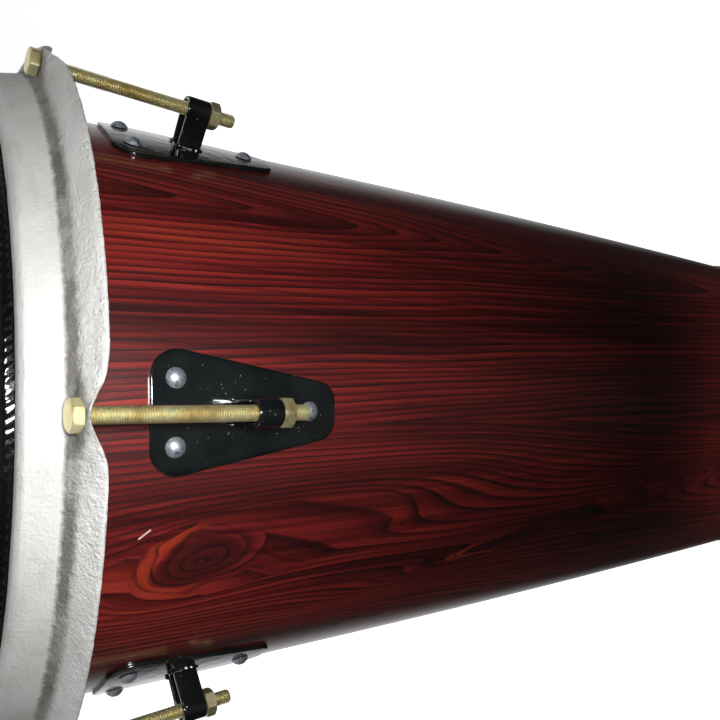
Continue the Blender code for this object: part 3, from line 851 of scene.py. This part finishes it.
def add_inner_ring(wood):
    """The glued stiffening ring inside the shell's foot."""
    outside = SHELL_WALL + FIT_GAP
    inside = outside + INNER_RING_THICKNESS
    low, high = INNER_RING_LOW, INNER_RING_HIGH
    corners = [(shell_radius(low, outside), low), (shell_radius(high, outside), high),
               (shell_radius(high, inside), high), (shell_radius(low, inside), low)]
    mesh = lathed("stiffening_ring", filleted(corners, INNER_RING_ROUND))
    add_piece("stiffening_ring", mesh, wood, "inner_ring")


def add_base_ring():
    """The rubber channel that the drum stands on."""
    inner = shell_radius(SHELL_LOW, SHELL_WALL + FIT_GAP)
    outer = shell_radius(RUBBER_TOP) + FIT_GAP
    wall = BASE_RING_WALL
    corners = [(inner - wall, 0.0), (outer + wall, 0.0), (outer + wall, RUBBER_TOP), (outer, RUBBER_TOP),
               (outer, wall), (inner, wall), (inner, RUBBER_TOP), (inner - wall, RUBBER_TOP)]
    mesh = lathed("rubber_foot", filleted(corners, BASE_RING_ROUND))
    add_piece("rubber_foot", mesh, rubber(), "base_ring")


def pleat_phases():
    """The phase and size of the collar's pleats round the head; both drift from pleat to pleat."""
    rng = Random(PLEAT_SEED)
    steps = np.array([1.0 + rng.uniform(-PLEAT_SPREAD, PLEAT_SPREAD) for _ in range(PLEAT_COUNT)])
    edges = np.concatenate([[0.0], np.cumsum(steps)]) * tau / steps.sum()
    heights = np.array([rng.uniform(PLEAT_SMALLEST, 1.0) for _ in range(PLEAT_COUNT)])
    segments = PLEAT_COUNT * PLEAT_SAMPLES
    angle = np.arange(segments) * tau / segments
    phase = np.interp(angle, edges, np.arange(PLEAT_COUNT + 1))
    size = np.interp(phase, np.arange(PLEAT_COUNT + 1), np.append(heights, heights[0]))
    return phase, size


def add_head_film():
    """The playing film: a flat disc whose collar is drawn down over the shell in small pleats."""
    phase, size = pleat_phases()
    inner = SHELL_TOP_RADIUS + FIT_GAP
    outer = inner + FILM_THICKNESS
    centre = (outer - FILM_ROUND, FILM_TOP - FILM_ROUND)
    top = [(r, FILM_TOP) for r in FILM_FACE_RADII]
    top += list(reversed(arc_points(centre, FILM_ROUND, 0, 90, 7)))
    collar = [(outer, centre[1] + (FILM_FOOT - centre[1]) * t) for t in COLLAR_LEVELS]
    under = [(inner, FILM_FOOT), (inner, centre[1])]
    under += arc_points(centre, FILM_ROUND - FILM_THICKNESS, 0, 90, 3)
    under += [(r, FILM_TOP - FILM_THICKNESS) for r in FILM_BACK_RADII]
    rings = lathe_rings(top + collar + under, len(phase))
    for ring, (radius, height) in zip(rings, top + collar):
        below = max(0.0, FILM_TOP - height - PLEAT_START)
        swell = min(1.0, below / PLEAT_RISE) ** 1.3 if radius > centre[0] else 0.0
        slant = below * PLEAT_LEAN * (0.4 + size)
        wave = 0.5 - 0.5 * np.cos(tau * (phase - slant))
        push = 1.0 + swell * PLEAT_DEPTH * size * wave / radius
        ring[:, :2] *= push[:, None]
    mesh = make_mesh("head_film", *bridged(rings), sharp=60)
    film = add_piece("playing_film", mesh, head_film(), "head_film")


def add_flesh_hoop():
    """The ring inside the film's rolled rim, under the counter hoop's lip."""
    inner = SHELL_TOP_RADIUS + FIT_GAP + FILM_THICKNESS + FLESH_INNER_GAP
    outer = inner + FLESH_WIDTH
    high = HOOP_TOP - LIP_THICKNESS - FIT_GAP
    low = high - FLESH_HEIGHT
    corners = [(inner, low), (outer, low), (outer, high), (inner, high)]
    mesh = lathed("flesh_ring", filleted(corners, FLESH_ROUND, 5), sharp=60)
    add_piece("flesh_ring", mesh, flesh_wrap(), "flesh_hoop", "tuning_hoop")


def hoop_section(distance):
    """The counter hoop's section as (radius, depth below its top), at a distance from a bolt."""
    edge = exp(-(distance / EAR_EDGE_SPREAD) ** 2)
    fade = min(max((distance - EAR_SHELF_HALF) / EAR_SHELF_BLEND, 0.0), 1.0)
    root = 0.5 + 0.5 * cos(pi * fade)

    def lift(section_point, weight):
        plain, ear = section_point
        return tuple(p + (e - p) * weight for p, e in zip(plain, ear))

    return [
        (LIP_RADIUS, 0.0),
        (HOOP_TOP_RADIUS - HOOP_BEVEL_WIDTH, 0.0),
        (HOOP_TOP_RADIUS, HOOP_BEVEL_DEPTH),
        BAND_FOOT,
        lift(SKIRT_ROOT, root),
        lift(SKIRT_MIDDLE, root),
        lift(SKIRT_RIM_TOP, edge),
        lift(SKIRT_RIM, edge),
        lift(SKIRT_RIM_UNDER, edge),
        lift(SKIRT_UNDER, root),
        SKIRT_HEEL,
        BAND_INNER,
        (BAND_INNER[0], LIP_THICKNESS),
        (LIP_RADIUS, LIP_THICKNESS),
    ]


def cast_relief(points, depths):
    """How far the mould's rough skin stands in or out at each point, more on the skirt than the band."""
    relief = np.zeros(points.shape[:2])
    for i, ring in enumerate(points):
        for j, point in enumerate(ring):
            spot = Vector(point)
            wave = noise.noise(spot * 85.0)
            wrinkle = noise.noise(spot * 330.0 + Vector((7.1, 0, 0)))
            pebble = noise.noise(spot * 760.0)
            rough = min(max((depths[j] - ROUGH_START) / ROUGH_BLEND, 0.0), 1.0)
            relief[i, j] = SKIN_WAVE * wave + (SKIN_WRINKLE[0] + SKIN_WRINKLE[1] * rough) * wrinkle
            relief[i, j] += (SKIN_PEBBLE[0] + SKIN_PEBBLE[1] * rough) * pebble
    return relief


def add_counter_hoop():
    """The cast tuning hoop, with a rough skin and a hole through each ear."""
    pitch = tau * BOLT_PITCH_RADIUS / LUG_COUNT
    reference = filleted(hoop_section(pitch / 2), HOOP_ROUND, 2)
    following = reference[1:] + reference[:1]
    counts = [max(1, round((Vector(end) - Vector(start)).length / HOOP_GRID))
              for start, end in zip(reference, following)]
    depths = [depth for _, depth in subdivided(reference, counts)]
    rings = []
    for segment in range(HOOP_SEGMENTS):
        turn = tau * segment / HOOP_SEGMENTS
        along = (turn * BOLT_PITCH_RADIUS) % pitch
        outline = subdivided(filleted(hoop_section(min(along, pitch - along)), HOOP_ROUND, 2), counts)
        angle = turn - pi / 2
        rings.append([(r * cos(angle), r * sin(angle), HOOP_TOP - depth) for r, depth in outline])
    points = np.array(rings)
    around = np.roll(points, -1, 0) - np.roll(points, 1, 0)
    across = np.roll(points, -1, 1) - np.roll(points, 1, 1)
    normals = np.cross(around, across)
    normals /= np.linalg.norm(normals, axis=2, keepdims=True)
    if normals[0, depths.index(0.0)][2] < 0:
        normals = -normals
    points += normals * (cast_relief(points, depths) - SKIN_MARGIN)[..., None]
    mesh = make_mesh("counter_hoop", *bridged(points, loop=True), sharp=55)
    places = [bolt_place(index) for index in range(LUG_COUNT)]
    mesh = drilled("counter_hoop", mesh, places, EAR_HOLE_RADIUS, *EAR_DRILL, sharp=55)
    add_piece("cast_hoop", mesh, cast_aluminium(), "counter_hoop", "tuning_hoop")


def add_tension_bolts(material):
    """Hexagon bolts threaded up to the head."""
    rings = hex_rings(BOLT_HEAD_FLATS, FIT_GAP, BOLT_HEAD_HEIGHT, BOLT_HEAD_INNER, pi / 6, chamfer_low=False)
    head = make_mesh("bolt_head", *bridged(rings), sharp=24)
    rod = thread_mesh("bolt_thread", -BOLT_LENGTH, BOLT_HEAD_HEIGHT / 2, THREAD_RADIUS, THREAD_DEPTH,
                      THREAD_PITCH, THREAD_SIDES)
    mesh = boolean("bolt", head, rod, "UNION", sharp=24)
    for index, joint in enumerate(BOLT_JOINTS):
        add_piece(f"bolt_{index + 1}", mesh, material, f"tension_bolt_{index + 1}",
                  joint["child"], bolt_place(index))


def add_tension_nuts(material):
    """Nuts against the far side of each strap."""
    top = -STRAP_ALONG_BOLT - STRAP_WIDTH / 2 - FIT_GAP
    mesh = nut_mesh("nut", NUT_FLATS, top - NUT_HEIGHT, top, NUT_BORE_RADIUS)
    for index in range(LUG_COUNT):
        add_piece(f"nut_{index + 1}", mesh, material, f"tension_nut_{index + 1}",
                  place=bolt_place(index))


def plate_half_width(height):
    """Half of a plate's width at a height above its lower end."""
    top, foot = PLATE_TOP_CORNER, PLATE_FOOT_CORNER
    lean = atan2(PLATE_TOP_HALF_WIDTH - PLATE_FOOT_HALF_WIDTH, PLATE_LENGTH - top - foot)
    foot_centre = (PLATE_FOOT_HALF_WIDTH - foot * cos(lean), foot)
    top_centre = (PLATE_TOP_HALF_WIDTH - top * cos(lean), PLATE_LENGTH - top)
    low_tangent = foot_centre[1] - foot * sin(lean)
    high_tangent = top_centre[1] - top * sin(lean)
    if height < low_tangent:
        return foot_centre[0] + max(0.0, foot ** 2 - (height - foot_centre[1]) ** 2) ** 0.5
    if height > high_tangent:
        return top_centre[0] + max(0.0, top ** 2 - (height - top_centre[1]) ** 2) ** 0.5
    low_half = foot_centre[0] + foot * cos(lean)
    high_half = top_centre[0] + top * cos(lean)
    return low_half + (high_half - low_half) * (height - low_tangent) / (high_tangent - low_tangent)


def plate_grid(inset, lift):
    """Points of a plate's face on the curved shell, pulled in from its outline by an inset."""
    base = HOOP_TOP - PLATE_TOP_DEPTH - PLATE_LENGTH
    grid = []
    for i in range(PLATE_ROWS + 1):
        share = 0.5 - 0.5 * cos(pi * i / PLATE_ROWS)
        half = plate_half_width(share * PLATE_LENGTH) - inset
        height = base + inset + share * (PLATE_LENGTH - 2 * inset)
        radius = shell_radius(height) + FIT_GAP + lift
        for j in range(PLATE_COLUMNS + 1):
            turn = (2 * j / PLATE_COLUMNS - 1) * half / shell_radius(height) - pi / 2
            grid.append((radius * cos(turn), radius * sin(turn), height))
    return grid


def plate_border():
    """Numbers of the grid's points round its edge, in order."""
    width = PLATE_COLUMNS + 1
    last = PLATE_ROWS * width
    loop = list(range(width))
    loop += [i * width + PLATE_COLUMNS for i in range(1, PLATE_ROWS + 1)]
    loop += [last + j for j in range(PLATE_COLUMNS - 1, -1, -1)]
    loop += [i * width for i in range(PLATE_ROWS - 1, 0, -1)]
    return loop


def plate_mesh():
    """A plate of lug 1: two curved faces joined by a rounded edge."""
    bevel, thickness = PLATE_BEVEL, PLATE_THICKNESS
    vertices, faces = [], []
    for inset, lift in ((bevel, thickness), (0.0, 0.0)):
        start = len(vertices)
        vertices += plate_grid(inset, lift)
        for i in range(PLATE_ROWS):
            for j in range(PLATE_COLUMNS):
                corner = start + i * (PLATE_COLUMNS + 1) + j
                faces.append((corner, corner + 1, corner + PLATE_COLUMNS + 2, corner + PLATE_COLUMNS + 1))
    border = plate_border()
    loops = [border]
    for inset, lift in ((bevel * 0.3, thickness - bevel * 0.3), (0.0, thickness - bevel)):
        start = len(vertices)
        grid = plate_grid(inset, lift)
        vertices += [grid[k] for k in border]
        loops.append(list(range(start, start + len(border))))
    loops.append([(PLATE_ROWS + 1) * (PLATE_COLUMNS + 1) + k for k in border])
    for upper, lower in zip(loops, loops[1:]):
        for k in range(len(border)):
            following = (k + 1) % len(border)
            faces.append((upper[k], upper[following], lower[following], lower[k]))
    plate = make_mesh("plate", vertices, faces, sharp=50)
    places = [screw_place(0, depth, offset) for depth, offset in zip(SCREW_DEPTHS, SCREW_OFFSETS)]
    return drilled("plate", plate, places, SCREW_HOLE_RADIUS, *PLATE_DRILL, sharp=50)


def strap_path():
    """Centre line of the strap's section in a plane across the bolt, as (sideways, outward, normal angle)."""
    middle = strap_place().translation
    depth = -middle.y - (shell_radius(middle.z) + FIT_GAP + PLATE_THICKNESS / 2)
    reach = hypot(STRAP_FOOT_HALF, depth)
    opening = acos((STRAP_INNER_RADIUS + STRAP_THICKNESS) / reach)
    tangent = atan2(-depth, STRAP_FOOT_HALF) + opening
    radius = STRAP_INNER_RADIUS + STRAP_THICKNESS / 2
    leg = []
    for k in range(STRAP_LEG_STEPS, 0, -1):
        run = reach * sin(opening) * k / STRAP_LEG_STEPS
        leg.append((radius * cos(tangent) + sin(tangent) * run,
                    radius * sin(tangent) - cos(tangent) * run, tangent))
    bend = []
    for k in range(STRAP_BEND_STEPS + 1):
        angle = tangent + (pi - 2 * tangent) * k / STRAP_BEND_STEPS
        bend.append((radius * cos(angle), radius * sin(angle), angle))
    return leg + bend + [(-x, y, pi - angle) for x, y, angle in reversed(leg)]


def strap_mesh():
    """The bent strap over the bolt: a rounded flat bar swept along its path."""
    half_thick, half_wide = STRAP_THICKNESS / 2, STRAP_WIDTH / 2
    corners = [(-half_thick, -half_wide), (half_thick, -half_wide), (half_thick, half_wide),
               (-half_thick, half_wide)]
    rings = []
    for x, y, angle in strap_path():
        ring = []
        for across, along in filleted(corners, STRAP_ROUND):
            lump = STRAP_LUMPS * noise.noise(Vector((x, y, along)) * 180.0)
            reach = across + (lump if across > 0 else 0.0)
            ring.append((x + cos(angle) * reach, -(y + sin(angle) * reach), along))
        rings.append(ring)
    mesh = make_mesh("strap", *bridged(rings), sharp=40)
    mesh.transform(strap_place())
    return mesh


def weld_mesh(side):
    """A lumpy weld bead along one foot of the strap."""
    x, y, _ = strap_path()[0 if side > 0 else -1]
    rings = []
    for k in range(WELD_STEPS + 1):
        share = k / WELD_STEPS
        along = (share - 0.5) * (STRAP_WIDTH + WELD_OVERRUN)
        swell = max(0.02, sin(pi * share)) ** 0.35
        lump = noise.noise(Vector((side * 3.0, share * 5.0, 0.2)))
        size = WELD_RADIUS * swell * (1.0 + 0.16 * sin(share * tau * 5.0) + 0.25 * lump)
        ring = []
        for s in range(WELD_SIDES):
            angle = tau * s / WELD_SIDES
            grain = noise.noise(Vector((cos(angle), sin(angle), share * 9 + side)))
            radius = size * (1 + 0.12 * grain)
            across = x + side * WELD_ASIDE + WELD_BROAD * radius * cos(angle)
            ring.append((across, -(y + WELD_OUT + radius * sin(angle)), along))
        rings.append(ring)
    mesh = make_mesh("weld", *bridged(rings), sharp=70)
    mesh.transform(strap_place())
    return mesh


def add_brackets():
    """Plate, strap and weld beads of each lug, all under one coat of black enamel."""
    paint = enamel()
    welds = joined("welds", weld_mesh(1), weld_mesh(-1), sharp=70)
    parts = (("plate", plate_mesh(), "lug_bracket"), ("strap", strap_mesh(), None), ("weld", welds, None))
    for index in range(LUG_COUNT):
        number = index + 1
        for part, mesh, node in parts:
            replaced = f"{node}_{number}" if node else None
            add_piece(f"lug_{part}_{number}", mesh, paint, replaced, place=lug_turn(index))


def add_lug_screws():
    """Dome-headed machine screws."""
    paint = painted_zinc()
    seat = 2 * FIT_GAP + PLATE_THICKNESS
    grip = SHELL_WALL + SCREW_NUT_GAP + SCREW_NUT_HEIGHT + SCREW_TAIL
    ball = (SCREW_HEAD_RADIUS ** 2 + SCREW_HEAD_HEIGHT ** 2) / (2 * SCREW_HEAD_HEIGHT)
    edge = degrees(acos((ball - SCREW_HEAD_HEIGHT) / ball))
    dome = arc_points((0, seat + SCREW_HEAD_HEIGHT - ball), ball, 90 - edge, 88, 9)
    rim = [(SCREW_HEAD_INNER, seat), (SCREW_HEAD_RADIUS * 0.97, seat), (SCREW_HEAD_RADIUS, seat + 0.0003)]
    head = lathed("screw_head", rim + dome[1:], 40, loop=False, sharp=50)
    rod = thread_mesh("screw_thread", -grip, seat + SCREW_HEAD_HEIGHT / 3, SCREW_RADIUS,
                      SCREW_THREAD_DEPTH, SCREW_PITCH, SCREW_THREAD_SIDES)
    mesh = boolean("screw", head, rod, "UNION", sharp=40)
    for label, place in screw_places():
        add_piece(f"screw_{label}", mesh, paint, f"lug_screw_{label}", place=place)


def add_screw_nuts(material):
    """Hexagon nuts on the inside of the wall, each left at its own angle."""
    face = -SHELL_WALL - SCREW_NUT_GAP
    rng = Random(SCREW_NUT_SEED)
    for label, place in screw_places():
        mesh = nut_mesh("screw_nut", SCREW_NUT_FLATS, face - SCREW_NUT_HEIGHT, face,
                        SCREW_HOLE_RADIUS * SCREW_NUT_BORE, rng.uniform(0.0, pi / 3))
        add_piece(f"inside_nut_{label}", mesh, material, f"screw_nut_{label}", place=place)


# ---------------------------------------------------------------- stage, light and camera

# Lights: name, place, target, size, watts, beam in degrees, and whether gloss mirrors it
LIGHTS = (
    ("key", (0.055, -0.62, 0.73), (0.0, -0.19, 0.66), 0.10, 0.55, 70, True),
    ("sky", (0.0, 1.2, 2.8), (0.0, 0.2, 0.3), 2.4, 6.0, 180, True),
    ("left", (-1.3, 1.9, 1.1), (0.0, 0.0, 0.4), 3.0, 22.0, 180, False),
    ("right", (1.3, 1.9, 1.1), (0.0, 0.0, 0.4), 3.0, 22.0, 180, False),
    ("foot", (0.0, -1.5, 0.25), (0.0, -0.13, 0.02), 0.25, 0.20, 12, True),
)

# Soft glows of the surroundings: direction, the cosines where one starts and is full, and its strength
GLOWS = (
    ((0.0, 1.0, 0.0), 0.45, 0.85, 0.75),
    ((0.0, 0.2, 1.0), 0.30, 0.90, 0.18),
    ((0.9, 0.2, 0.45), 0.75, 0.97, 0.38),
    ((-0.9, 0.2, 0.45), 0.75, 0.97, 0.38),
    ((0.0, -0.9, -0.4), 0.75, 0.98, 0.06),
)
DIMMEST = 0.015
BACKDROP = 0.95
BACKDROP_COLOR = (0.98, 0.985, 1.0, 1.0)
FLOOR_HALF = 14.0


def add_stage():
    """A wide pale floor."""
    work = bmesh.new()
    bmesh.ops.create_grid(work, x_segments=8, y_segments=8, size=FLOOR_HALF)
    mesh = bpy.data.meshes.new("floor")
    work.to_mesh(mesh)
    work.free()
    mesh.materials.append(pale_floor())
    floor = add_object("floor", mesh)
    floor.visible_glossy = False
    floor.visible_diffuse = False


def add_lights():
    """Soft round lights, each facing its target."""
    for name, place, target, size, power, spread, mirrored in LIGHTS:
        data = bpy.data.lights.new(name, "AREA")
        data.shape = "DISK"
        data.size = size
        data.energy = power
        data.spread = radians(spread)
        lamp = add_object(name, data)
        lamp.location = place
        lamp.rotation_euler = (Vector(target) - Vector(place)).to_track_quat("-Z", "Y").to_euler()
        lamp.visible_camera = False
        lamp.visible_glossy = mirrored


def add_surroundings():
    """A dim room with soft glows, in front of a plain pale backdrop."""
    world = bpy.data.worlds.new("studio")
    bpy.context.scene.world = world
    world.use_nodes = True
    s = Nodes(world.node_tree)
    direction = s.node("TexCoord", "Generated", {})
    light = DIMMEST
    for towards, low, high, strength in GLOWS:
        inputs = {0: direction, 1: Vector(towards).normalized()}
        cosine = s.node("VectorMath", "Value", inputs, operation="DOT_PRODUCT")
        light = s.between(cosine, low, high, 0.0, strength) + light
    seen = s.node("LightPath", "Is Camera Ray", {})
    background = world.node_tree.nodes["Background"]
    background.inputs["Color"].default_value = BACKDROP_COLOR
    s.feed(background.inputs["Strength"], s.node("Mix", 0, {0: seen, 2: light, 3: BACKDROP}))


def add_camera():
    data = bpy.data.cameras.new("camera")
    data.lens = 41.413
    data.sensor_width = 36.0
    data.shift_y = 0.03097
    data.clip_start = 0.01
    camera = add_object("camera", data)
    camera.location = (0.01101, -0.55135, 0.74980)
    camera.rotation_euler = [radians(angle) for angle in (1.0751, 58.7863, -89.3658)]
    bpy.context.scene.camera = camera


def main():
    wood = bare_wood()
    add_shell(wood)
    add_inner_ring(wood)
    add_base_ring()
    add_head_film()
    add_flesh_hoop()
    add_counter_hoop()
    yellow = zinc("yellow_zinc", YELLOW_ZINC)
    add_tension_bolts(yellow)
    add_tension_nuts(yellow)
    add_brackets()
    add_lug_screws()
    add_screw_nuts(zinc("bright_zinc", BRIGHT_ZINC))
    add_stage()
    add_lights()
    add_surroundings()
    add_camera()
    bpy.context.scene.view_settings.view_transform = "Standard"


main()
